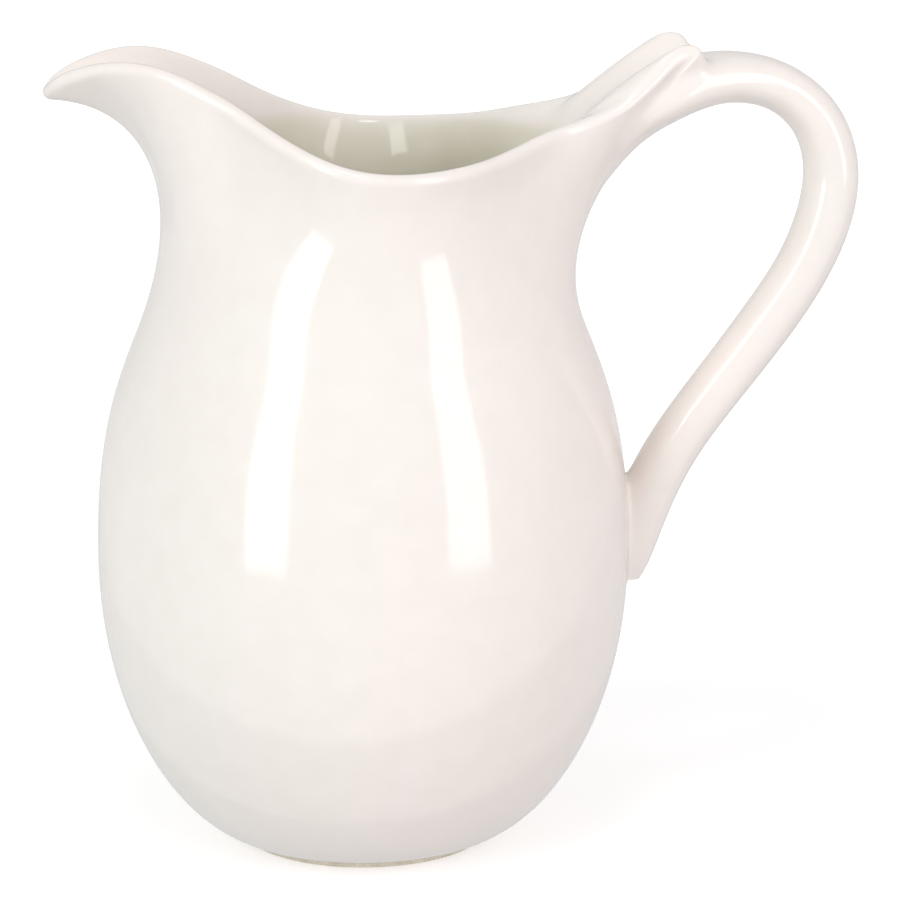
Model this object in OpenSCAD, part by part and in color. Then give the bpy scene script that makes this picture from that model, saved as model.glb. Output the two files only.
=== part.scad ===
// Glazed ceramic pitcher with a beak spout and a sprung strap handle.
// The origin is the centre of the foot's resting plane. The spout points to -X, the handle to +X,
// and the pitcher is the same on both sides of the XZ plane.

/* [Foot] */
// Outer radius of the foot ring
foot_r = 36; // [32:0.5:40]
// Width of the unglazed ring that the pitcher rests on
foot_w = 5.5; // [4:0.5:8]
// Height of the foot ring, which lifts the belly off the table
foot_h = 1.8; // [1.2:0.2:3]

/* [Belly] */
// Largest outer radius of the belly
belly_r = 76; // [72:0.5:80]
// Height of the widest part of the belly
belly_z = 84; // [78:1:90]
// Wall thickness
wall = 5; // [4:0.25:6]
// Height of the floor inside
floor_z = 7.5; // [6.5:0.5:10]

/* [Neck and mouth] */
// Outer radius that the neck narrows to
neck_r = 56.7; // [54:0.5:60]
// Height of the narrowest part of the neck
neck_z = 183; // [178:1:188]
// Half of the mouth's width, measured at its widest
mouth_r = 59.4; // [57:0.5:62]
// Lowest height of the lip, at the sides of the mouth
lip_z = 201.2; // [198:0.5:204]
// Thickness of the rounded lip
lip_t = 4.6; // [4:0.2:5.4]

/* [Spout] */
// Distance from the axis to the tip of the spout
spout_reach = 88.4; // [84:0.5:92]
// Height of the crest that the lip climbs to before the tip
spout_z = 226.9; // [222:0.5:230]
// How far the tip curls down below that crest
spout_curl = 9.7; // [6:0.5:12]

/* [Thumb rest] */
// Distance from the axis to the two lobes of the thumb rest
lobe_x = 91.2; // [89:0.2:93]
// Half of the distance between the two lobes
lobe_y = 17.2; // [15:0.5:19]
// Height of the lobes, the highest points of the pitcher
lobe_z = 229.6; // [227:0.2:232]

/* [Handle] */
// Thickness of the strap where the hand holds it
strap_t = 15.4; // [13.4:0.2:16.4]
// Width of the strap where the hand holds it
strap_w = 19.4; // [17.4:0.2:22]
// Thickness of the slip that joins the handle to the body
slip_t = 0.8; // [0.6:0.1:1.2]

/* [Hidden] */

glaze = "#f4efe6";
biscuit = "#e2d8c6";
slip = "#ece5d8";

// The belly's outline is two cubic curves: foot to belly, and belly to neck.
join_t = 0.62;                      // where the mouth takes over from the belly, along the second curve
foot_reach = 17;                    // how flat the outline leaves the foot
foot_rise = 3.4;
belly_fall = 48;                    // how long the outline stays near vertical below the belly
belly_climb = 61;                   // and above it
neck_fall = 38;
profile_steps = 20;
ring_n = 128;                       // facets of the surfaces of revolution

// Points along the rim, round one side from the handle to the spout: [x, half width, height].
root_x = lobe_x + 6.4;
root_z = lobe_z - 9.6;
channel_y = lobe_y + 6.4;
rim_points = [
    [root_x, 0, root_z],
    [root_x - 0.4, 6, root_z + 1],
    [root_x - 2, 12.2, root_z + 4.6],
    [lobe_x, lobe_y, lobe_z],
    [lobe_x - 8, lobe_y + 3.6, lobe_z - 4.9],
    [lobe_x - 19, channel_y, lobe_z - 13],
    [60, channel_y + 2, lip_z + 9.8],
    [49, 31, lip_z + 6.5],
    [37, 42.5, lip_z + 2.8],
    [22, mouth_r - 5.4, lip_z + 0.6],
    [5, mouth_r, lip_z],
    [-12, mouth_r - 2.6, lip_z + 3],
    [-28, 45, lip_z + 10.4],
    [-42, 33.6, spout_z - 6.7],
    [-spout_reach + 32.4, 25, spout_z - 0.9],
    [-spout_reach + 20.4, 18.2, spout_z],
    [-spout_reach + 10.4, 11.6, spout_z - 2.3],
    [-spout_reach + 3, 6.4, spout_z - 6.1],
    [-spout_reach, 0, spout_z - spout_curl],
];
rim_steps = 2;                      // points made between neighbouring rim points
wall_steps = 14;                    // rows of points up the mouth's wall, on each face
lip_steps = 4;                      // rows of points over the rounded lip
spout_from = 14;                    // rim point at which the spout's own section begins

// What the wall heads for on its way up to the lip, as [radius, height], on its outside and its inside.
side_pull = [-3.6, -13.5];          // at the sides, counted from the lip itself
side_pull_in = [-8, -13.5];
spout_pull = [58.8, 213.3];           // at the throat of the spout
spout_pull_in = [54, 218];
spout_dip = [0, 9];                 // how much lower both are to either side of the spout's middle
root_pull = [69.4, 202.1];          // under the thumb rest
root_dip = [14.4, 14.1];            // how much less that is to either side of it
root_pull_in = [51, 206];           // where the floor of the channel begins
root_dip_in = [-1, 4];

// How long the wall keeps the belly's direction, and how much longer at the spout and the handle.
wall_reach = 20;
spout_more = 18.7;
root_more = 4.5;
root_more_in = 16;
lobe_more = 3.4;                    // how much thicker the wall is between the two lobes

// Angles round the axis, from the handle, between which each of these comes in or dies away.
spout_zone = [128, 165];
spout_dip_zone = [155, 180];
spout_reach_zone = [125, 180];
root_zone = [22, 46];
root_zone_in = [42, 80];
root_dip_zone = [0, 38];
root_dip_zone_in = [12, 50];
root_reach_zone = [5, 50];
lobe_zone = [2, 14];

// Centre line of the handle: [x, z, thickness, width].
handle_points = [
    [66, 198.5, strap_t - 8.4, strap_w + 4],
    [74, 206.9, strap_t - 5.2, strap_w + 13],
    [84, 213.3, strap_t - 2.4, strap_w + 18],
    [95, 217.9, strap_t - 1.2, strap_w + 13.4],
    [107, 218.9, strap_t - 1.4, strap_w + 6.4],
    [119.2, 215.4, strap_t - 1.6, strap_w + 1.8],
    [129.2, 206.1, strap_t - 1, strap_w + 0.4],
    [133.4, 193, strap_t - 0.2, strap_w],
    [131.8, 179, strap_t, strap_w],
    [125.6, 163.8, strap_t - 0.4, strap_w - 0.2],
    [115.2, 147.8, strap_t - 0.4, strap_w - 0.6],
    [103.2, 131.8, strap_t - 0.8, strap_w - 1],
    [91.2, 115.4, strap_t - 0.9, strap_w - 1.2],
    [83.2, 100.8, strap_t - 0.6, strap_w - 1.8],
    [79.4, 89.4, strap_t - 1.8, strap_w - 3.4],
    [77.8, 80.6, strap_t - 5, strap_w - 6.4],
    [76.6, 74.6, strap_t - 8.6, strap_w - 10.4],
];
tail_from = 12;                     // handle point at which the tail begins
handle_steps = 3;
handle_sides = 24;
strap_roundness = 0.87;             // 1 makes the strap's section an ellipse, and less makes it squarer

// How far the upper slip joint reaches from the middle of the rim: in columns of the wall to each side,
// and in rows of points below the lip, outside and inside.
slip_columns = 4;
slip_rows = 5;
slip_rows_in = 4;

// The lower slip joint is a tongue under the tail: the heights of its round ends, and how far it stays in.
tongue_high = 99;
tongue_low = 80;
tongue_in = 2;

function unit(v) = v / norm(v);
// Goes smoothly from 0 to 1 as v crosses the zone.
function smooth(zone, v) =
    let (t = min(max((v - zone[0]) / (zone[1] - zone[0]), 0), 1)) pow(t, 3) * (t * (6 * t - 15) + 10);
function bezier(a, b, c, d, t) =
    a * pow(1 - t, 3) + b * 3 * t * pow(1 - t, 2) + c * 3 * t * t * (1 - t) + d * pow(t, 3);
function slope(a, b, c, d, t) = (b - a) * pow(1 - t, 2) + (c - b) * 2 * t * (1 - t) + (d - c) * t * t;

// A curve with an even bend through the points p: a cubic B-spline. Its control points c settle in a few
// rounds, each of which moves them to where the curve would pass through p if their neighbours stayed.
settle_rounds = 24;
function settled(p, c, closed, rounds) =
    rounds == 0 ? c
    : settled(p, [for (i = [0:len(p) - 1])
        !closed && (i == 0 || i == len(p) - 1) ? p[i]
        : (6 * p[i] - c[(i + len(p) - 1) % len(p)] - c[(i + 1) % len(p)]) / 4], closed, rounds - 1);
function spline_at(c, i, t) =
    (c[i] * pow(1 - t, 3) + c[i + 1] * (3 * pow(t, 3) - 6 * t * t + 4)
     + c[i + 2] * (3 * t * t + 3 * t + 1 - 3 * pow(t, 3)) + c[i + 3] * pow(t, 3)) / 6;
function spline(p, closed, steps) = let (
    c = settled(p, p, closed, settle_rounds),
    n = len(p),
    before = closed ? c[n - 1] : 2 * c[0] - c[1],
    after = closed ? [c[0], c[1]] : [2 * c[n - 1] - c[n - 2]],
    all = concat([before], c, after))
    concat([for (i = [0:len(all) - 4]) for (k = [0:steps - 1]) spline_at(all, i, k / steps)],
           closed ? [] : [p[n - 1]]);

// Half of the belly's outline, moved inwards by inset and up to height low at its foot.
function lower_curve(inset, low) = [
    [foot_r - inset * 2, low], [foot_r + foot_reach - inset, low + foot_rise - 1],
    [belly_r - inset, belly_z - belly_fall + inset * 0.6], [belly_r - inset, belly_z]];
function upper_curve(inset) = [
    [belly_r - inset, belly_z], [belly_r - inset, belly_z + belly_climb],
    [neck_r - inset, neck_z - neck_fall], [neck_r - inset, neck_z]];
function along(c, t) = bezier(c[0], c[1], c[2], c[3], t);
function outline(inset, low) = concat(
    [for (k = [0:profile_steps]) along(lower_curve(inset, low), k / profile_steps)],
    [for (k = [1:profile_steps]) along(upper_curve(inset), join_t * k / profile_steps)]);
join = along(upper_curve(0), join_t);
join_slope = let (c = upper_curve(0)) unit(slope(c[0], c[1], c[2], c[3], join_t));

// The rim as a closed loop, and its direction at each point.
function mirrored(p) = [p[0], -p[1], p[2]];
other_side = [for (i = [len(rim_points) - 2:-1:1]) mirrored(rim_points[i])];
rim = spline(concat(rim_points, other_side), true, rim_steps);
rim_n = len(rim);
function rim_direction(i) = unit(rim[(i + 1) % rim_n] - rim[(i + rim_n - 1) % rim_n]);

// One curve of the mouth's wall, grown on both faces by extra. It goes up the outside, over the lip and
// down the inside.
function ring_point(a, p) = [p[0] * cos(a), p[0] * sin(a), p[1]];
function wall_curve(i, extra) = let (
    crest = rim[i],
    a = atan2(crest[1], crest[0]),
    side = abs(a),
    lip = [norm([crest[0], crest[1]]), crest[2]],
    at_spout = smooth(spout_zone, side),
    at_root = 1 - smooth(root_zone, side),
    at_root_in = 1 - smooth(root_zone_in, side),
    dip = spout_dip * (1 - smooth(spout_dip_zone, side)),
    pull = ring_point(a, (lip + side_pull) * (1 - at_spout - at_root) + (spout_pull - dip) * at_spout
        + (root_pull - root_dip * smooth(root_dip_zone, side)) * at_root),
    pull_in = ring_point(a,
        (lip + side_pull_in) * (1 - at_spout - at_root_in) + (spout_pull_in - dip) * at_spout
        + (root_pull_in - root_dip_in * smooth(root_dip_zone_in, side)) * at_root_in),
    out_dir = unit(crest - pull),
    in_dir = unit(crest - pull_in),
    rise = unit(out_dir + in_dir),
    way = rim_direction(i),
    top = unit(rise - way * (rise * way)),
    across = cross(way, top),
    t = lip_t + lobe_more * (1 - smooth(lobe_zone, side)) + 2 * extra,
    radial = [cos(a), sin(a), 0],
    middle = crest - top * t / 2,
    outer = middle + across * t / 2,
    inner = middle - across * t / 2,
    start = ring_point(a, join + [extra, 0]),
    start_in = ring_point(a, join - [wall + extra, 0]),
    up = ring_point(a, join_slope),
    at_reach = smooth(spout_reach_zone, side),
    near_root = 1 - smooth(root_reach_zone, side),
    reach = wall_reach + spout_more * at_reach + root_more * near_root,
    reach_in = wall_reach + spout_more * at_reach + root_more_in * at_root_in)
    concat(
        [for (k = [0:wall_steps])
            bezier(start, start + up * reach, pull + (radial - rise) * t / 2, outer, k / wall_steps)],
        [for (k = [1:lip_steps - 1])
            bezier(outer, outer + out_dir * t * 2 / 3, inner + in_dir * t * 2 / 3, inner, k / lip_steps)],
        [for (k = [wall_steps:-1:0]) bezier(
            start_in, start_in + up * reach_in, pull_in - (radial + rise) * t / 2, inner, k / wall_steps)]);

// A closed solid through a row of loops that all have the same even number of points.
// Each end is closed by a strip from one half of its loop to the other.
module closed_loft(curves) {
    n = len(curves[0]);
    end = (len(curves) - 1) * n;
    sides = [for (i = [0:len(curves) - 2]) for (k = [0:n - 1]) for (half = [0, 1])
        let (a = i * n + k, b = i * n + (k + 1) % n, c = a + n, d = b + n)
        half == 0 ? [a, b, c] : [b, d, c]];
    function strip(base) = [for (k = [0:floor(n / 2) - 1]) for (half = [0, 1])
        let (a = k, b = k + 1, c = n - 1 - k, d = n - 2 - k)
        if (b <= d) half == 0 ? [base + a, base + c, base + b] : [base + b, base + c, base + d]];
    function flip(faces) = [for (f = faces) [f[0], f[2], f[1]]];
    function proper(faces) = [for (f = faces) if (f[0] != f[1] && f[1] != f[2] && f[0] != f[2]) f];
    polyhedron([for (c = curves) for (p = c) p],
               concat(sides, proper(strip(0)), flip(proper(strip(end)))), convexity = 8);
}

// The wall between two places on the rim.
module mouth_section(first, last, extra) {
    closed_loft([for (i = [first:last]) wall_curve((i + rim_n) % rim_n, extra)]);
}

// The handle between two of its points, grown all round by extra, as a closed solid.
module handle_section(first, last, extra) {
    line = spline(handle_points, false, handle_steps);
    low = first * handle_steps;
    high = last * handle_steps;
    rings = [for (i = [low:high]) let (
        ahead = line[min(i + 1, len(line) - 1)] - line[max(i - 1, 0)],
        way = unit([ahead[0], ahead[1]]),
        out = [-way[1], way[0]])
        [for (k = [0:handle_sides - 1]) let (
            a = 360 * k / handle_sides,
            u = sign(cos(a)) * pow(abs(cos(a)), strap_roundness) * (line[i][2] / 2 + extra),
            v = sign(sin(a)) * pow(abs(sin(a)), strap_roundness) * (line[i][3] / 2 + extra))
            [line[i][0] + out[0] * u, v, line[i][1] + out[1] * u]]];
    n = handle_sides;
    faces = concat(
        [for (i = [0:high - low - 1]) for (k = [0:n - 1]) for (half = [0, 1])
            let (a = i * n + k, b = i * n + (k + 1) % n, c = a + n, d = b + n)
            half == 0 ? [a, c, b] : [b, c, d]],
        [[for (k = [0:n - 1]) k]],
        [[for (k = [n - 1:-1:0]) (high - low) * n + k]]);
    polyhedron([for (r = rings) for (p = r) p], faces, convexity = 4);
}

module neck_wall(extra) {
    mouth_section(-spout_from * rim_steps, spout_from * rim_steps, extra);
}

// The belly as a filled solid, grown by extra.
module belly_block(extra) {
    rotate_extrude($fn = ring_n)
        polygon(concat([[0, foot_h - extra]], outline(-extra, foot_h), [[0, join[1]]]));
}

module body() {
    inside = outline(wall, floor_z);
    color(glaze)
    rotate_extrude($fn = ring_n)
        polygon(concat(
            [[0, foot_h]],
            outline(0, foot_h),
            [for (i = [len(inside) - 1:-1:0]) inside[i]],
            [[0, floor_z]]));
}

module foot_ring() {
    edge = 0.8;
    color(biscuit)
    rotate_extrude($fn = ring_n)
        polygon(concat(
            [[foot_r - foot_w, foot_h]],
            [for (a = [180:22.5:270]) [foot_r - foot_w + edge + edge * cos(a), edge + edge * sin(a)]],
            [for (a = [270:22.5:360]) [foot_r - edge + edge * cos(a), edge + edge * sin(a)]],
            [[foot_r, foot_h]]));
}

module neck_and_rim() {
    color(glaze)
    neck_wall(0);
}

module pouring_spout() {
    color(glaze)
    mouth_section(spout_from * rim_steps, rim_n - spout_from * rim_steps, 0);
}

module handle() {
    color(glaze)
    resize([0, 0, 0])
    difference() {
        handle_section(0, tail_from, 0);
        neck_wall(slip_t);
    }
}

module handle_tail() {
    color(glaze)
    resize([0, 0, 0])
    difference() {
        handle_section(tail_from, len(handle_points) - 1, 0);
        belly_block(slip_t);
    }
}

// The slip round the end of the wall, where the root of the handle grips it. It is a sheet that follows
// the wall from a row of points on the outside, over the lip, to one on the inside.
module upper_slip_joint() {
    first = wall_steps - slip_rows;
    last = wall_steps + lip_steps + slip_rows_in;
    curves = [for (i = [-slip_columns:slip_columns])
        let (bare = wall_curve((i + rim_n) % rim_n, 0), grown = wall_curve((i + rim_n) % rim_n, slip_t))
        concat([for (k = [first:last]) grown[k]], [for (k = [last:-1:first]) bare[k]])];
    color(slip)
    closed_loft(curves);
}

// The bed of slip between the tail of the handle and the belly.
module lower_slip_joint() {
    color(slip)
    intersection() {
        difference() {
            belly_block(slip_t);
            belly_block(0);
        }
        rotate([90, 0, 90])
        linear_extrude(belly_r + wall)
        hull() {
            translate([0, tongue_high]) circle(strap_w / 2 - tongue_in);
            translate([0, tongue_low]) circle((strap_w / 2 - tongue_in) / 2);
        }
    }
}

body();
foot_ring();
neck_and_rim();
pouring_spout();
handle();
handle_tail();
upper_slip_joint();
lower_slip_joint();
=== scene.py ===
"""A glazed ceramic pitcher: smooth shell, beak spout and strap handle, in studio light."""
import math

import bpy
import numpy as np
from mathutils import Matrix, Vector
from mathutils.bvhtree import BVHTree


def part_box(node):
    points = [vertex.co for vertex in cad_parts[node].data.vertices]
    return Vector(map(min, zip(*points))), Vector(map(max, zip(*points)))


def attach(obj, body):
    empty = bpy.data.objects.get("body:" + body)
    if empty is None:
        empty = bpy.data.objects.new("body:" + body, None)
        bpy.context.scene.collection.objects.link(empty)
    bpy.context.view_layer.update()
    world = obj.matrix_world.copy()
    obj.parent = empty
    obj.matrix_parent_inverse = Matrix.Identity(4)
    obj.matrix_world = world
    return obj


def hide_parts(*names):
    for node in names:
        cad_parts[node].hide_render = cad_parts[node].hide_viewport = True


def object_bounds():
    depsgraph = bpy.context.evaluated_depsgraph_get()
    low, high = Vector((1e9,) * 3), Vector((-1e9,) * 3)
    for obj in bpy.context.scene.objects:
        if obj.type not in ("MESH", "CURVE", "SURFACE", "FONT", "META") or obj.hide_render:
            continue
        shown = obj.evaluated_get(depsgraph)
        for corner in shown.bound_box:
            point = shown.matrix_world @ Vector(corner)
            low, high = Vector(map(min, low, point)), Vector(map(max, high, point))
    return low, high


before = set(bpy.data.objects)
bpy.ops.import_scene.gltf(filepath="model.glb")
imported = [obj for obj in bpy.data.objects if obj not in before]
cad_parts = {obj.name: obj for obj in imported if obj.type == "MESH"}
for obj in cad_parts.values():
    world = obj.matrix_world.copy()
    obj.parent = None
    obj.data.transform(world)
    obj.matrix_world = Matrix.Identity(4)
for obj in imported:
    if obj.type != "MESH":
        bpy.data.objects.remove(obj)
cad_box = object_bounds()

# ---------------------------------------------------------------- sizes, in millimetres
MM = 0.001


def box_mm(node):
    low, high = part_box(node)
    return np.array(low) / MM, np.array(high) / MM


foot_high = box_mm("foot_ring")[1]
foot_r, foot_h = foot_high[0], foot_high[2]
belly_r = box_mm("body")[1][1]
spout_reach = -box_mm("pouring_spout")[0][0]

foot_w = 5.5
belly_z = 84
wall = 5
floor_z = 7.5
foot_hollow = 0.9  # how far the belly's underside rises inside the foot ring
neck_r, neck_z = 56.7, 183
mouth_r, lip_z, lip_t = 59.4, 201.2, 4.6
spout_z, spout_curl = 226.9, 9.7
lobe_x, lobe_y, lobe_z = 91.2, 17.2, 229.6
strap_t, strap_w = 15.4, 19.4

# The belly's outline is two cubic curves: foot to belly, and belly to neck.
join_t = 0.62
foot_reach, foot_rise = 17, 3.4
belly_fall, belly_climb, neck_fall = 48, 61, 38

# Points along the rim, round one side from the handle to the spout: [x, half width, height].
root_x, root_z = lobe_x + 6.4, lobe_z - 9.6
channel_y = lobe_y + 6.4
RIM = np.array([
    [root_x, 0, root_z],
    [root_x - 0.4, 6, root_z + 1],
    [root_x - 2, 12.2, root_z + 4.6],
    [lobe_x, lobe_y, lobe_z],
    [lobe_x - 8, lobe_y + 3.6, lobe_z - 4.9],
    [lobe_x - 19, channel_y, lobe_z - 13],
    [60, channel_y + 2, lip_z + 9.8],
    [49, 31, lip_z + 6.5],
    [37, 42.5, lip_z + 2.8],
    [22, mouth_r - 5.4, lip_z + 0.6],
    [5, mouth_r, lip_z],
    [-12, mouth_r - 2.6, lip_z + 3],
    [-28, 45, lip_z + 10.4],
    [-42, 33.6, spout_z - 6.7],
    [-spout_reach + 32.4, 25, spout_z - 0.9],
    [-spout_reach + 20.4, 18.2, spout_z],
    [-spout_reach + 10.4, 11.6, spout_z - 2.3],
    [-spout_reach + 3, 6.4, spout_z - 6.1],
    [-spout_reach, 0, spout_z - spout_curl],
])
SPOUT_FROM = 14  # the point at which the spout begins

# What the wall heads for on its way up to the lip, as (radius, height).
side_pull, side_pull_in = np.array([-3.6, -13.5]), np.array([-8, -13.5])
spout_pull, spout_pull_in, spout_dip = np.array([58.8, 213.3]), np.array([54, 218]), np.array([0, 9])
root_pull, root_dip = np.array([69.4, 202.1]), np.array([14.4, 14.1])
root_pull_in, root_dip_in = np.array([51, 206]), np.array([-1, 4])

# How long the wall keeps the belly's direction, and how much longer at the spout and the handle.
wall_reach, spout_more, root_more, root_more_in = 20, 18.7, 4.5, 16
lobe_more = 3.4  # how much thicker the wall is between the two lobes

# Angles round the axis, from the handle, between which each of these comes in or dies away.
SPOUT_ZONE, SPOUT_DIP_ZONE, SPOUT_REACH_ZONE = (128, 165), (155, 180), (125, 180)
ROOT_ZONE, ROOT_DIP_ZONE, ROOT_REACH_ZONE = (22, 46), (0, 38), (5, 50)
ROOT_ZONE_IN, ROOT_DIP_ZONE_IN = (42, 80), (12, 50)
LOBE_ZONE = (2, 14)

# Centre line of the handle: [x, z, thickness, width].
STRAP = np.array([
    [66, 198.5, strap_t - 8.4, strap_w + 4],
    [74, 206.9, strap_t - 5.2, strap_w + 13],
    [84, 213.3, strap_t - 2.4, strap_w + 18],
    [95, 217.9, strap_t - 1.2, strap_w + 13.4],
    [107, 218.9, strap_t - 1.4, strap_w + 6.4],
    [119.2, 215.4, strap_t - 1.6, strap_w + 1.8],
    [129.2, 206.1, strap_t - 1, strap_w + 0.4],
    [133.4, 193, strap_t - 0.2, strap_w],
    [131.8, 179, strap_t, strap_w],
    [125.6, 163.8, strap_t - 0.4, strap_w - 0.2],
    [115.2, 147.8, strap_t - 0.4, strap_w - 0.6],
    [103.2, 131.8, strap_t - 0.8, strap_w - 1],
    [91.2, 115.4, strap_t - 0.9, strap_w - 1.2],
    [83.2, 100.8, strap_t - 0.6, strap_w - 1.8],
    [79.4, 89.4, strap_t - 1.8, strap_w - 3.4],
    [77.8, 80.6, strap_t - 5, strap_w - 6.4],
    [76.6, 74.6, strap_t - 8.6, strap_w - 10.4],
])
TAIL_FROM = 12  # the point at which the tail begins
STRAP_ROUNDNESS = 0.87  # 1 makes the strap's section an ellipse, and less makes it squarer

# How finely the meshes are made.
RIM_STEPS = [18] * 7 + [9] * 11
UNDER_ROWS = 10
BELLY_ROWS = 36
WALL_ROWS = 72
LIP_ROWS = 12
FLOOR_ROWS = 8
STRAP_STEPS = [18] * 5 + [10] * 6 + [16] * 5
STRAP_SIDES = 96

# How the handle's joints are smoothed: where, how wide at the tail, how much wider under the thumb rest and
# how much less on top of it, how far a point may move, and how far the two surfaces pass each other.
BLEND_BOX = np.array([[40, -32, 60], [112, 32, 240]])
BLEND_AT_TAIL = 5
BLEND_MORE_AT_ROOT, ROOT_HEIGHTS = 4, (120, 180)
BLEND_LESS_ON_TOP, TOP_HEIGHTS = 3, (213, 224)
BLEND_STEPS = 14
BLEND_LIMIT = 6
BLEND_OVERLAP = 0.5
SLOWEST_RATE = 0.4  # keeps a step short where the surface hardly comes nearer

# Where the painted shade inside the vessel, darker and more olive, begins: rows of points below the lip's
# crest, and heights.
INSIDE_SHADE_ROWS = (0, 18)
INSIDE_SHADE_HEIGHTS = (206, 200)


# ---------------------------------------------------------------- curves
def unit(v):
    return v / np.linalg.norm(v, axis=-1, keepdims=True)


def smooth(low, high, v):
    """Goes from 0 to 1 as v crosses from low to high, with no corner in its slope or its bend."""
    t = np.clip((v - low) / (high - low), 0, 1)
    return t ** 3 * (t * (6 * t - 15) + 10)


def bezier(a, b, c, d, t):
    t = np.asarray(t)[..., None]
    return a * (1 - t) ** 3 + 3 * b * t * (1 - t) ** 2 + 3 * c * t * t * (1 - t) + d * t ** 3


def spline(points, steps, closed):
    """A curve with an even bend through the points: a cubic B-spline whose control points are solved for.
    It makes steps[i] points from point i up to the next."""
    n = len(points)
    m = np.zeros((n, n))
    for i in range(n):
        if closed or 0 < i < n - 1:
            m[i, (i - 1) % n] += 1 / 6
            m[i, i] += 4 / 6
            m[i, (i + 1) % n] += 1 / 6
        else:
            m[i, i] = 1
    c = np.linalg.solve(m, points)
    if closed:
        c = np.concatenate([c[-1:], c, c[:2]])
    else:
        c = np.concatenate([2 * c[:1] - c[1:2], c, 2 * c[-1:] - c[-2:-1]])
    curve = []
    for i, step in enumerate(steps):
        t = np.arange(step)[:, None] / step
        blend = [(1 - t) ** 3, 3 * t ** 3 - 6 * t ** 2 + 4, -3 * t ** 3 + 3 * t ** 2 + 3 * t + 1, t ** 3]
        curve.append(sum(b * c[i + j] for j, b in enumerate(blend)) / 6)
    if not closed:
        curve.append(points[-1:])
    return np.concatenate(curve)


def tangents(points, axis, closed):
    """Directions of a grid's lines along one axis, right also where the spacing changes."""
    if closed:
        ahead, behind = np.roll(points, -1, axis) - points, points - np.roll(points, 1, axis)
    else:
        step = np.diff(points, axis=axis)
        first, last = np.take(step, [0], axis), np.take(step, [-1], axis)
        ahead, behind = np.concatenate([step, last], axis), np.concatenate([first, step], axis)
    h1 = np.maximum(np.linalg.norm(ahead, axis=-1, keepdims=True), 1e-9)
    h0 = np.maximum(np.linalg.norm(behind, axis=-1, keepdims=True), 1e-9)
    return (ahead / h1 * h0 + behind / h0 * h1) / (h0 + h1)


# ---------------------------------------------------------------- the shell: belly, neck, rim and spout
def lower_curve(inset, low):
    return np.array([
        [foot_r - 2 * inset, low], [foot_r + foot_reach - inset, low + foot_rise - 1],
        [belly_r - inset, belly_z - belly_fall + 0.6 * inset], [belly_r - inset, belly_z]])


def upper_curve(inset):
    return np.array([
        [belly_r - inset, belly_z], [belly_r - inset, belly_z + belly_climb],
        [neck_r - inset, neck_z - neck_fall], [neck_r - inset, neck_z]])


def outline(inset, low):
    t = np.arange(BELLY_ROWS + 1) / BELLY_ROWS
    return np.concatenate([bezier(*lower_curve(inset, low), t), bezier(*upper_curve(inset), t[1:] * join_t)])


def rim_loop():
    other_side = RIM[-2:0:-1] * [1, -1, 1]
    return spline(np.concatenate([RIM, other_side]), RIM_STEPS + RIM_STEPS[::-1], True)


def ring(angle, p):
    """Points at those angles round the axis, from (radius, height) pairs."""
    return np.stack([p[..., 0] * np.cos(angle), p[..., 0] * np.sin(angle), p[..., 1] + 0 * angle], -1)


def mouth_wall(crest, angle, side):
    """The wall above the belly, a row of points for each place on the rim: outside, lip and inside."""
    lip = np.stack([np.hypot(crest[:, 0], crest[:, 1]), crest[:, 2]], -1)

    def by(weight):
        return weight[:, None]

    at_spout = smooth(*SPOUT_ZONE, side)
    at_root = 1 - smooth(*ROOT_ZONE, side)
    at_root_in = 1 - smooth(*ROOT_ZONE_IN, side)
    dip = spout_dip * by(1 - smooth(*SPOUT_DIP_ZONE, side))
    pull = ((lip + side_pull) * by(1 - at_spout - at_root) + (spout_pull - dip) * by(at_spout)
            + (root_pull - root_dip * by(smooth(*ROOT_DIP_ZONE, side))) * by(at_root))
    pull_in = ((lip + side_pull_in) * by(1 - at_spout - at_root_in) + (spout_pull_in - dip) * by(at_spout)
               + (root_pull_in - root_dip_in * by(smooth(*ROOT_DIP_ZONE_IN, side))) * by(at_root_in))
    pull, pull_in = ring(angle, pull), ring(angle, pull_in)
    out_dir, in_dir = unit(crest - pull), unit(crest - pull_in)
    rise = unit(out_dir + in_dir)
    way = unit(tangents(crest, 0, True))
    top = unit(rise - way * np.sum(rise * way, 1, keepdims=True))
    across = np.cross(way, top)
    t = by(lip_t + lobe_more * (1 - smooth(*LOBE_ZONE, side)))
    middle = crest - top * t / 2
    outer, inner = middle + across * t / 2, middle - across * t / 2

    a, b, c, d = upper_curve(0)
    join = bezier(a, b, c, d, join_t)
    slope = (b - a) * (1 - join_t) ** 2 + 2 * (c - b) * join_t * (1 - join_t) + (d - c) * join_t ** 2
    start, start_in = ring(angle, join + 0 * lip), ring(angle, join - [wall, 0] + 0 * lip)
    up = ring(angle, unit(slope) + 0 * lip)
    at_reach, near_root = smooth(*SPOUT_REACH_ZONE, side), 1 - smooth(*ROOT_REACH_ZONE, side)
    reach = by(wall_reach + spout_more * at_reach + root_more * near_root)
    reach_in = by(wall_reach + spout_more * at_reach + root_more_in * at_root_in)

    def rows(a, b, c, d, t):
        return np.stack([bezier(a[i], b[i], c[i], d[i], t) for i in range(len(a))])

    up_wall = np.arange(1, WALL_ROWS + 1) / WALL_ROWS
    over_lip = np.arange(1, LIP_ROWS) / LIP_ROWS
    half = t / 2
    radial = ring(angle, np.array([1, 0]) + 0 * lip)
    outside = rows(start, start + up * reach, pull + (radial - rise) * half, outer, up_wall)
    cap = rows(outer, outer + out_dir * t * 2 / 3, inner + in_dir * t * 2 / 3, inner, over_lip)
    inside = rows(start_in, start_in + up * reach_in, pull_in - (radial + rise) * half, inner, up_wall)
    return outside, cap, inside[:, ::-1]


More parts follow.
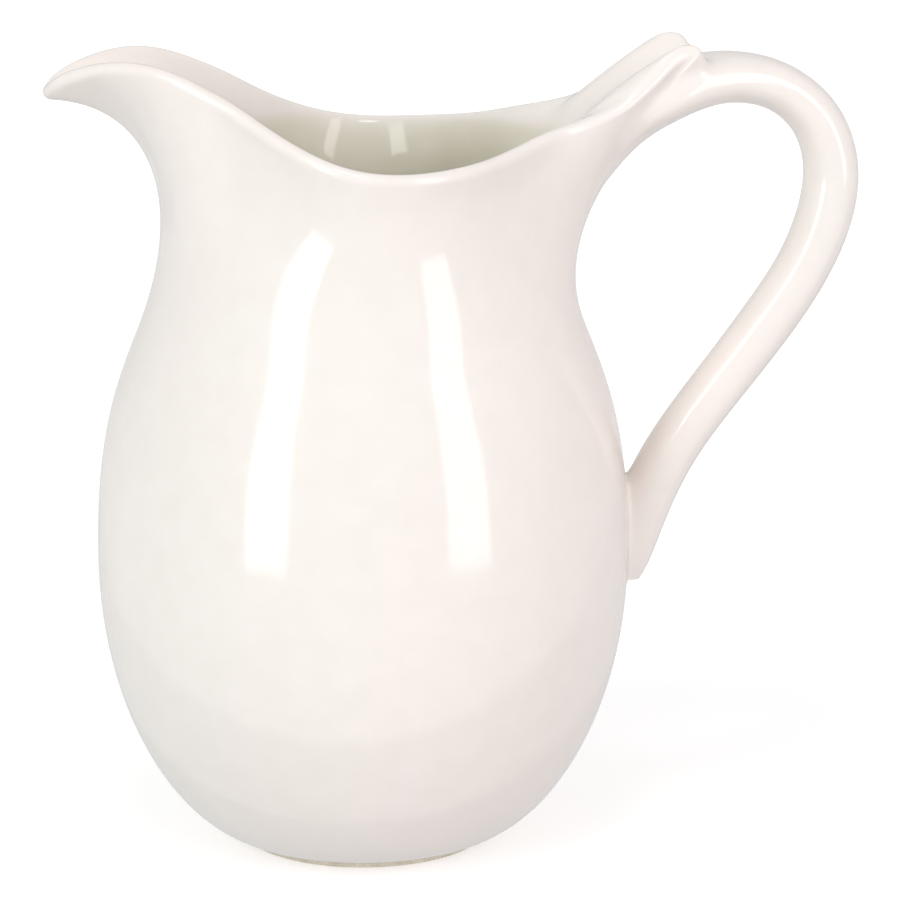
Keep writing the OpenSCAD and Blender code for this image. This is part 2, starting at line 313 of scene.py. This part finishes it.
def shell_grid():
    """The whole surface, from under the foot, up the outside, over the lip and down to the floor inside.
    With it come the rows where the mouth's wall begins and ends, and how much painted shade each point takes
    inside the vessel."""
    crest = rim_loop()
    angle = np.arctan2(crest[:, 1], crest[:, 0])
    outside, cap, inside = mouth_wall(crest, angle, np.abs(np.degrees(angle)))
    under = np.array([[r, foot_h + foot_hollow * (1 - (r / (foot_r - foot_w)) ** 2)]
                      for r in np.linspace(0, foot_r - foot_w, UNDER_ROWS)])
    base = np.concatenate([under, outline(0, foot_h)])
    inner_floor = np.array([[r, floor_z] for r in np.linspace(0, foot_r - 2 * wall, FLOOR_ROWS)[:-1]])
    basin = np.concatenate([inner_floor, outline(wall, floor_z)])[::-1]
    belly = ring(angle[:, None], base[None])
    bowl = ring(angle[:, None], basin[None])
    grid = np.concatenate([belly, outside, cap, inside, bowl], 1)
    join_row = belly.shape[1] - 1
    last_row = grid.shape[1] - bowl.shape[1]
    lip_row = join_row + outside.shape[1] + cap.shape[1] // 2
    below_lip = np.arange(grid.shape[1]) - lip_row
    # How much painted shade of the hollow each point takes: below the lip's crest and low down inside.
    painted_shade_share = smooth(*INSIDE_SHADE_ROWS, below_lip) * smooth(*INSIDE_SHADE_HEIGHTS, grid[..., 2])
    return grid, join_row, last_row, painted_shade_share


# ---------------------------------------------------------------- the handle
def strap_grid():
    line = spline(STRAP, STRAP_STEPS, False)
    way = unit(tangents(line[:, :2], 0, False))
    out = np.stack([-way[:, 1], way[:, 0]], -1)
    a = np.arange(STRAP_SIDES) * 2 * math.pi / STRAP_SIDES
    u = np.sign(np.cos(a)) * np.abs(np.cos(a)) ** STRAP_ROUNDNESS / 2
    v = np.sign(np.sin(a)) * np.abs(np.sin(a)) ** STRAP_ROUNDNESS / 2
    x = line[:, 0:1] + out[:, 0:1] * u * line[:, 2:3]
    z = line[:, 1:2] + out[:, 1:2] * u * line[:, 2:3]
    y = v * line[:, 3:4]
    return np.stack([x, y + 0 * x, z], -1)


# ---------------------------------------------------------------- blending the handle into the shell
def capped(grid, normals):
    """The tube with flat caps on both ends, each a smaller ring and a point in the middle."""
    rows, directions = [], []
    for end, beyond in ((0, -1), (-1, 1)):
        ring_points = grid[end]
        middle = ring_points.mean(0)
        outward = unit((grid[end] - grid[end - beyond]).mean(0))
        for width in (0.6, 0.0):
            rows.append(middle + (ring_points - middle) * width)
            directions.append(np.tile(outward, (len(ring_points), 1)))
    closed = np.concatenate([[rows[1], rows[0]], grid, [rows[2], rows[3]]])
    return closed, np.concatenate([[directions[1], directions[0]], normals, [directions[2], directions[3]]])


class Surface:
    """A closed surface that says how far a point is outside it, and in which direction it lies."""

    def __init__(self, grid, normals, faces):
        points, normals = grid.reshape(-1, 3), normals.reshape(-1, 3)
        self.points, self.normals = points, normals
        halves = [half for f in faces for half in ((f[0], f[1], f[2]), (f[0], f[2], f[3]))]
        self.triangles = np.array([half for half in halves if len(set(half)) == 3])
        self.tree = BVHTree.FromPolygons(points.tolist(), self.triangles.tolist())

    def distance(self, points):
        found = [self.tree.find_nearest(Vector(p)) for p in points]
        near = np.array([f[0] for f in found])
        corner = self.triangles[[f[2] for f in found]]
        a, b, c = (self.points[corner[:, i]] for i in range(3))
        # Where the nearest point lies in its triangle, which gives the smooth normal there.
        e0, e1, e2 = b - a, c - a, near - a
        d00, d01, d11 = (e0 * e0).sum(1), (e0 * e1).sum(1), (e1 * e1).sum(1)
        d20, d21 = (e2 * e0).sum(1), (e2 * e1).sum(1)
        scale = np.maximum(d00 * d11 - d01 * d01, 1e-12)
        v, w = (d11 * d20 - d01 * d21) / scale, (d00 * d21 - d01 * d20) / scale
        share = np.stack([1 - v - w, v, w], 1)[:, :, None]
        normal = unit((self.normals[corner] * share).sum(1))
        away = points - near
        length = np.linalg.norm(away, axis=1)
        side = np.where((away * normal).sum(1) < 0, -1.0, 1.0)
        return side * length, normal


def blend_width(points):
    """How wide the handle's joint is smoothed at each point."""
    z = points[:, 2]
    return (BLEND_AT_TAIL + BLEND_MORE_AT_ROOT * smooth(*ROOT_HEIGHTS, z)
            - BLEND_LESS_ON_TOP * smooth(*TOP_HEIGHTS, z))


def blended(points, normals, other):
    """Moves points outwards to the smooth union of their own surface and the other one.
    They stop early where the other surface becomes the nearer one, because its points take over there."""
    inside = np.all((points > BLEND_BOX[0]) & (points < BLEND_BOX[1]), axis=-1)
    p, n = points[inside], normals[inside]
    s = np.zeros(len(p))
    for _ in range(BLEND_STEPS):
        here = p + n * s[:, None]
        d, toward = other.distance(here)
        k = blend_width(here)
        h = np.maximum(k - np.abs(s - d), 0) / k
        share = np.where(s < d, h * h / 2, 1 - h * h / 2)
        rate = 1 - share + share * (toward * n).sum(1)
        f = np.minimum(s, d) - h ** 3 * k / 6
        room = np.maximum(d + BLEND_OVERLAP - s, 0) / 2
        s = np.clip(s + np.minimum(-f / np.maximum(rate, SLOWEST_RATE), room), 0, BLEND_LIMIT)
    out, turned = points.copy(), normals.copy()
    out[inside] = p + n * s[:, None]
    turned[inside] = unit(n * (1 - share[:, None]) + toward * share[:, None])
    return out, turned


# ---------------------------------------------------------------- meshes
def grid_faces(index, closed_columns, closed_rows):
    """Quads between neighbouring points of a grid of vertex numbers."""
    columns = range(index.shape[0] if closed_columns else index.shape[0] - 1)
    rows = range(index.shape[1] if closed_rows else index.shape[1] - 1)
    quads = []
    for i in columns:
        a, b = index[i], index[(i + 1) % index.shape[0]]
        for j in rows:
            k = (j + 1) % index.shape[1]
            quads.append([a[j], b[j], b[k], a[k]])
    return quads


def strip_faces(loop, flip):
    """Closes the end of a wall: quads from the first half of its loop to the second."""
    n = len(loop)
    quads = [[loop[k], loop[k + 1], loop[n - 2 - k], loop[n - 1 - k]] for k in range((n - 1) // 2)]
    return [q[::-1] for q in quads] if flip else quads


def build(name, points, normals, faces, material, nodes, inside=None):
    """Makes a named piece, in place of CAD nodes, from the vertices that its faces use."""
    clean = []
    for face in faces:
        corners = [v for i, v in enumerate(face) if v != face[i - 1]]
        if len(set(corners)) > 2:
            clean.append(corners)
    used = np.unique([v for f in clean for v in f])
    place = {int(v): i for i, v in enumerate(used)}
    mesh = bpy.data.meshes.new(name)
    inside_box = np.clip(points[used] * MM, cad_box[0], cad_box[1])
    mesh.from_pydata(inside_box.tolist(), [], [[place[int(v)] for v in f] for f in clean])
    mesh.polygons.foreach_set("use_smooth", [True] * len(mesh.polygons))
    mesh.update()
    mesh.normals_split_custom_set_from_vertices(normals[used].tolist())
    if inside is not None:
        mesh.attributes.new("inside", "FLOAT", "POINT").data.foreach_set("value", inside[used])
    piece = bpy.data.objects.new(name, mesh)
    bpy.context.scene.collection.objects.link(piece)
    mesh.materials.append(material)
    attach(piece, "root")
    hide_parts(*nodes)


# ---------------------------------------------------------------- materials
def new_material(name):
    material = bpy.data.materials.new(name)
    material.use_nodes = True
    nodes = material.node_tree.nodes
    shader = nodes["Principled BSDF"]
    where = nodes.new("ShaderNodeTexCoord").outputs["Object"]
    return material, shader, where


def noise(material, where, scale, detail=2.0, roughness=0.5):
    node = material.node_tree.nodes.new("ShaderNodeTexNoise")
    node.inputs["Scale"].default_value = scale
    node.inputs["Detail"].default_value = detail
    node.inputs["Roughness"].default_value = roughness
    material.node_tree.links.new(where, node.inputs["Vector"])
    return node.outputs["Fac"]


def ramp(material, value, stops):
    node = material.node_tree.nodes.new("ShaderNodeValToRGB")
    for element, (place, colour) in zip(node.color_ramp.elements, stops):
        element.position, element.color = place, colour
    material.node_tree.links.new(value, node.inputs["Fac"])
    return node.outputs["Color"]


def mix(material, kind, factor, a, b):
    node = material.node_tree.nodes.new("ShaderNodeMix")
    node.data_type, node.blend_type = "RGBA", kind
    for socket, value in ((node.inputs["Factor"], factor), (node.inputs[6], a), (node.inputs[7], b)):
        if isinstance(value, bpy.types.NodeSocket):
            material.node_tree.links.new(value, socket)
        else:
            socket.default_value = value
    return node.outputs[2]


def spread(material, value, low, high):
    node = material.node_tree.nodes.new("ShaderNodeMapRange")
    node.inputs["To Min"].default_value, node.inputs["To Max"].default_value = low, high
    material.node_tree.links.new(value, node.inputs["Value"])
    return node.outputs["Result"]


def bump(material, height, distance, strength, normal=None):
    node = material.node_tree.nodes.new("ShaderNodeBump")
    node.inputs["Distance"].default_value = distance
    node.inputs["Strength"].default_value = strength
    material.node_tree.links.new(height, node.inputs["Height"])
    if normal is not None:
        material.node_tree.links.new(normal, node.inputs["Normal"])
    return node.outputs["Normal"]


# Painted shade of the hollow: inside the vessel the glaze colour is multiplied by this darker, more olive
# colour.
INSIDE_SHADE_COLOUR = (0.86, 0.86, 0.765, 1)


def glaze_material():
    """Clear glaze over a warm white clay: cream that drifts a little between pink and green.
    Inside the vessel it is painted darker and more olive, as painted shade of the hollow."""
    m, shader, where = new_material("glazed_porcelain")
    link = m.node_tree.links.new
    drift = ramp(m, noise(m, where, 9, 1),
                 [(0.3, (0.875, 0.83, 0.785, 1)), (0.7, (0.895, 0.825, 0.785, 1))])
    # Painted shade: the inside is painted darker and more olive, weighted by the 'inside' attribute.
    painted_inside_shade = m.node_tree.nodes.new("ShaderNodeAttribute")
    painted_inside_shade.attribute_name = "inside"
    drift = mix(m, "MULTIPLY", painted_inside_shade.outputs["Fac"], drift, INSIDE_SHADE_COLOUR)
    mottle = ramp(m, noise(m, where, 110, 4, 0.6), [(0.3, (0.97, 0.97, 0.965, 1)), (0.7, (1, 1, 1, 1))])
    link(mix(m, "MULTIPLY", 1.0, drift, mottle), shader.inputs["Base Color"])
    link(spread(m, noise(m, where, 60, 3), 0.05, 0.11), shader.inputs["Roughness"])
    soft = bump(m, noise(m, where, 28, 1), 0.0012, 0.25)
    fine = bump(m, noise(m, where, 260, 2), 0.0001, 0.2, soft)
    link(fine, shader.inputs["Normal"])
    shader.inputs["IOR"].default_value = 1.5
    return m


def biscuit_material():
    """Bare fired clay on the foot: matt, fine sandy grain, a little darker where it has rubbed."""
    m, shader, where = new_material("bare_biscuit")
    link = m.node_tree.links.new
    tone = ramp(m, noise(m, where, 160, 4, 0.6),
                [(0.35, (0.62, 0.55, 0.45, 1)), (0.65, (0.76, 0.70, 0.60, 1))])
    grain = ramp(m, noise(m, where, 2600, 2), [(0.42, (0.86, 0.84, 0.8, 1)), (0.6, (1, 1, 1, 1))])
    link(mix(m, "MULTIPLY", 1.0, tone, grain), shader.inputs["Base Color"])
    link(spread(m, noise(m, where, 900, 3), 0.72, 0.92), shader.inputs["Roughness"])
    link(bump(m, noise(m, where, 2200, 3, 0.7), 0.00012, 0.6), shader.inputs["Normal"])
    return m


glaze = glaze_material()
biscuit = biscuit_material()

# ---------------------------------------------------------------- pieces
grid, join_row, last_row, painted_shade_share = shell_grid()
painted_shade_share = painted_shade_share.ravel()
columns, rows = grid.shape[:2]
shell_normals = unit(np.cross(tangents(grid, 0, True), tangents(grid, 1, False)) + [0, 0, 1e-12])
shell_normals[:, 0], shell_normals[:, -1] = [0, 0, -1], [0, 0, 1]

strap = strap_grid()
strap_normals = unit(np.cross(tangents(strap, 0, False), tangents(strap, 1, True)))

index = np.arange(columns * rows).reshape(columns, rows)
index[:, 0], index[:, -1] = index[0, 0], index[0, -1]
strap_index = np.arange(strap.shape[0] * strap.shape[1]).reshape(strap.shape[:2])

shell_surface = Surface(grid, shell_normals, grid_faces(index, True, False))
closed_strap, closed_normals = capped(strap, strap_normals)
closed_index = np.arange(closed_strap[..., 0].size).reshape(closed_strap.shape[:2])
strap_surface = Surface(closed_strap, closed_normals, grid_faces(closed_index, False, True))

points, normals = blended(grid.reshape(-1, 3), shell_normals.reshape(-1, 3), strap_surface)
strap_points, strap_turned = blended(strap.reshape(-1, 3), strap_normals.reshape(-1, 3), shell_surface)

body_rows = np.concatenate([index[:, :join_row + 1], index[:, last_row:]], 1)
build("body_visual", points, normals, grid_faces(body_rows, True, False), glaze, ["body"],
      painted_shade_share)

mouth_index = index[:, join_row:last_row + 1]


def wall_faces(first, last):
    """The wall between two places on the rim, closed at both ends and along its foot."""
    span = mouth_index[np.arange(first, last + 1) % columns]
    return (grid_faces(span, False, True) + strip_faces(list(span[0]), False)
            + strip_faces(list(span[-1]), True))


cut = sum(RIM_STEPS[:SPOUT_FROM])
build("neck_and_rim_visual", points, normals, wall_faces(-cut, cut), glaze, ["neck_and_rim"],
      painted_shade_share)
build("pouring_spout_visual", points, normals, wall_faces(cut, columns - cut), glaze,
      ["pouring_spout"], painted_shade_share)

split = sum(STRAP_STEPS[:TAIL_FROM])


def tube_faces(first, last):
    part = strap_index[first:last + 1]
    return grid_faces(part, False, True) + [list(part[0][::-1]), list(part[-1])]


build("handle_visual", strap_points, strap_turned, tube_faces(0, split), glaze,
      ["handle", "upper_slip_joint"])
build("handle_tail_visual", strap_points, strap_turned, tube_faces(split, len(strap) - 1), glaze,
      ["handle_tail", "lower_slip_joint"])

foot_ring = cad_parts["foot_ring"]
foot_ring.data.materials.clear()
foot_ring.data.materials.append(biscuit)


# ---------------------------------------------------------------- floor, light and camera
FLOOR_HALF = 6.0  # metres

# The room's light, how much more comes up from the ground, and its tint from spout to handle.
# A zone holds the heights, or the x for the tint, of the directions where each comes in and is complete.
ROOM_LIGHT = 0.64
GROUND_MORE, GROUND_ZONE = 0.17, (0.05, -0.25)
COOL_SIDE, WARM_SIDE, TINT_ZONE = (1.035, 1.06, 1.055, 1), (1, 0.967, 0.975, 1), (-0.9, 0.9)

# Each window is its azimuth and half its width, both in degrees, and its brightness.
WINDOWS = [(-45, 8.5, 3.4), (42, 8, 3.4)]
WINDOW_FOOT, WINDOW_TOP = (-0.19, -0.13), (0.85, 0.6)
WINDOW_EDGE = 2  # degrees over which a window fades out at its sides

# The camera looks from beside the spout, slightly down, at a point beside the axis: metres and degrees.
CAMERA_AZIMUTH, CAMERA_ELEVATION, CAMERA_DISTANCE = math.radians(5), math.radians(13), 1.05
CAMERA_LENS, CAMERA_SENSOR = 147, 36
AIM_HEIGHT, AIM_ASIDE = 0.1132, 0.024857


def make_floor():
    mesh = bpy.data.meshes.new("floor")
    h = FLOOR_HALF
    mesh.from_pydata([(-h, -h, 0), (h, -h, 0), (h, h, 0), (-h, h, 0)], [], [[0, 1, 2, 3]])
    piece = bpy.data.objects.new("floor", mesh)
    bpy.context.scene.collection.objects.link(piece)
    material, shader, where = new_material("floor_white")
    shader.inputs["Base Color"].default_value = (0.9, 0.9, 0.9, 1)
    shader.inputs["Roughness"].default_value = 0.9
    shader.inputs["Emission Color"].default_value = (1, 1, 1, 1)
    shader.inputs["Emission Strength"].default_value = 0.33
    mesh.materials.append(material)
    piece.visible_glossy = False
    piece.visible_diffuse = False


def make_softbox(name, azimuth, elevation, distance, width, height, power):
    data = bpy.data.lights.new(name, "AREA")
    data.shape, data.size, data.size_y, data.energy = "RECTANGLE", width, height, power
    lamp = bpy.data.objects.new(name, data)
    bpy.context.scene.collection.objects.link(lamp)
    a, e = math.radians(azimuth), math.radians(elevation)
    aim = Vector((0, 0, 0.12))
    back = Vector((math.sin(a) * math.cos(e), -math.cos(a) * math.cos(e), math.sin(e)))
    lamp.location = aim + back * distance
    lamp.rotation_euler = back.to_track_quat("Z", "Y").to_euler()


def make_studio():
    """An even pale room with a brighter ground and two tall lit windows."""
    world = bpy.data.worlds.new("studio")
    world.use_nodes = True
    nodes, link = world.node_tree.nodes, world.node_tree.links.new

    def maths(operation, a, b=0.0):
        node = nodes.new("ShaderNodeMath")
        node.operation = operation
        for socket, value in zip(node.inputs, (a, b)):
            if isinstance(value, bpy.types.NodeSocket):
                link(value, socket)
            else:
                socket.default_value = value
        return node.outputs[0]

    def ease(value, low, high):
        node = nodes.new("ShaderNodeMapRange")
        node.interpolation_type = "SMOOTHSTEP"
        node.inputs["From Min"].default_value, node.inputs["From Max"].default_value = low, high
        link(value, node.inputs["Value"])
        return node.outputs["Result"]

    split = nodes.new("ShaderNodeSeparateXYZ")
    link(nodes.new("ShaderNodeTexCoord").outputs["Generated"], split.inputs[0])
    x, y, z = split.outputs
    level = maths("SQRT", maths("ADD", maths("MULTIPLY", x, x), maths("MULTIPLY", y, y)))
    total = maths("ADD", ROOM_LIGHT, maths("MULTIPLY", ease(z, *GROUND_ZONE), GROUND_MORE))
    height = maths("MULTIPLY", ease(z, *WINDOW_FOOT), ease(z, *WINDOW_TOP))
    for azimuth, half_width, brightness in WINDOWS:
        a = math.radians(azimuth)
        facing = maths("ADD", maths("MULTIPLY", x, math.sin(a)), maths("MULTIPLY", y, -math.cos(a)))
        turn = maths("DIVIDE", facing, level)
        fade = [math.cos(math.radians(half_width + more)) for more in (WINDOW_EDGE, 0)]
        edge = ease(turn, *fade)
        total = maths("ADD", total, maths("MULTIPLY", maths("MULTIPLY", edge, height), brightness))
    link(total, nodes["Background"].inputs["Strength"])
    tint = nodes.new("ShaderNodeMix")
    tint.data_type = "RGBA"
    tint.inputs[6].default_value, tint.inputs[7].default_value = COOL_SIDE, WARM_SIDE
    link(ease(x, *TINT_ZONE), tint.inputs["Factor"])
    link(tint.outputs[2], nodes["Background"].inputs["Color"])
    bpy.context.scene.world = world


def make_camera():
    a, e = CAMERA_AZIMUTH, CAMERA_ELEVATION
    right = Vector((math.cos(a), -math.sin(a), 0))
    back = Vector((-math.sin(a) * math.cos(e), -math.cos(a) * math.cos(e), math.sin(e)))
    data = bpy.data.cameras.new("camera")
    data.lens, data.sensor_width = CAMERA_LENS, CAMERA_SENSOR
    camera = bpy.data.objects.new("camera", data)
    bpy.context.scene.collection.objects.link(camera)
    camera.location = Vector((0, 0, AIM_HEIGHT)) + right * AIM_ASIDE + back * CAMERA_DISTANCE
    camera.rotation_euler = back.to_track_quat("Z", "Y").to_euler()
    bpy.context.scene.camera = camera


make_floor()
make_softbox("top_softbox", -10, 62, 1.4, 0.35, 0.25, 1.6)
make_studio()
make_camera()
bpy.context.scene.view_settings.view_transform = "Standard"
